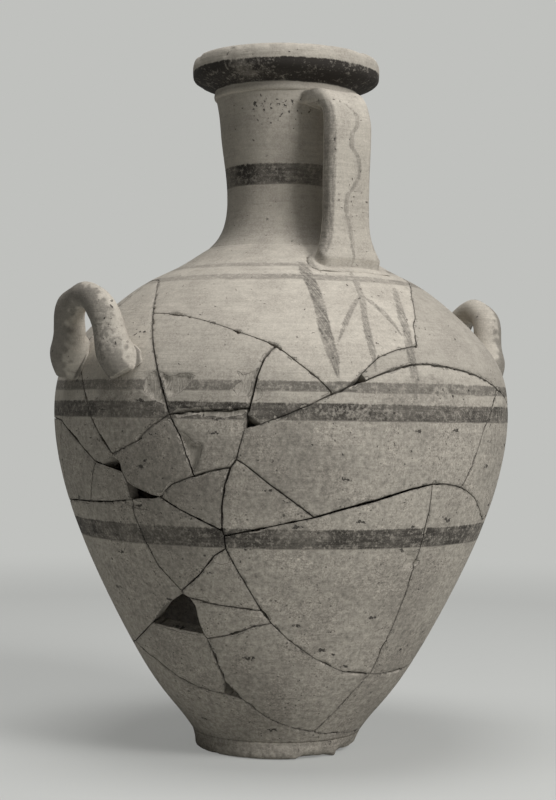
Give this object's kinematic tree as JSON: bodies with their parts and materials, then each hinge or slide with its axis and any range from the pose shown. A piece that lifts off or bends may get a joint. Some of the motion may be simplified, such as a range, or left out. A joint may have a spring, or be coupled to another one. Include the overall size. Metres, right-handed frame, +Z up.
{
  "type": "hydria jar",
  "caption": "Tall three-handled clay water jar with an ovoid body, high neck and flaring lip, mended from its sherds.",
  "frame": {"origin": "centre of the flat underside of the foot", "axes": "+Z up along the jar's axis, the strap handle on the -Y side, one loop handle near -X and one near +X"},
  "size_m": [0.3422, 0.3153, 0.478],
  "materials": {
    "body_clay": "matte fired clay with a thin slip",
    "neck_clay": "matte fired clay with a thin slip",
    "foot_clay": "matte fired clay, bare and worn",
    "handle_clay": "matte fired clay with a thin slip"
  },
  "bodies": {
    "root": {"base_front": "body_clay", "base_left": "body_clay", "base_right": "body_clay", "base_with_floor": "body_clay", "belly_back": "body_clay", "belly_back_left": "body_clay", "belly_back_right": "body_clay", "belly_far_left": "body_clay", "belly_front": "body_clay", "belly_front_chisel": "body_clay", "belly_front_patch": "body_clay", "belly_left_patch": "body_clay", "belly_left_strip": "body_clay", "belly_right": "body_clay", "belly_small_wedge": "body_clay", "foot_disc": "foot_clay", "loop_handle_left": "handle_clay", "loop_handle_right": "handle_clay", "lower_back": "body_clay", "lower_back_right": "body_clay", "lower_far_left": "body_clay", "lower_front": "body_clay", "lower_left_panel": "body_clay", "lower_left_small": "body_clay", "lower_left_wedge": "body_clay", "lower_right": "body_clay", "neck_and_lip": "neck_clay", "shoulder_back_left": "body_clay", "shoulder_back_right": "body_clay", "shoulder_crown": "body_clay", "shoulder_far_left": "body_clay", "shoulder_front_left": "body_clay", "shoulder_front_wedge": "body_clay", "shoulder_left": "body_clay", "shoulder_right": "body_clay", "strap_handle": "handle_clay"}
  },
  "joints": []
}
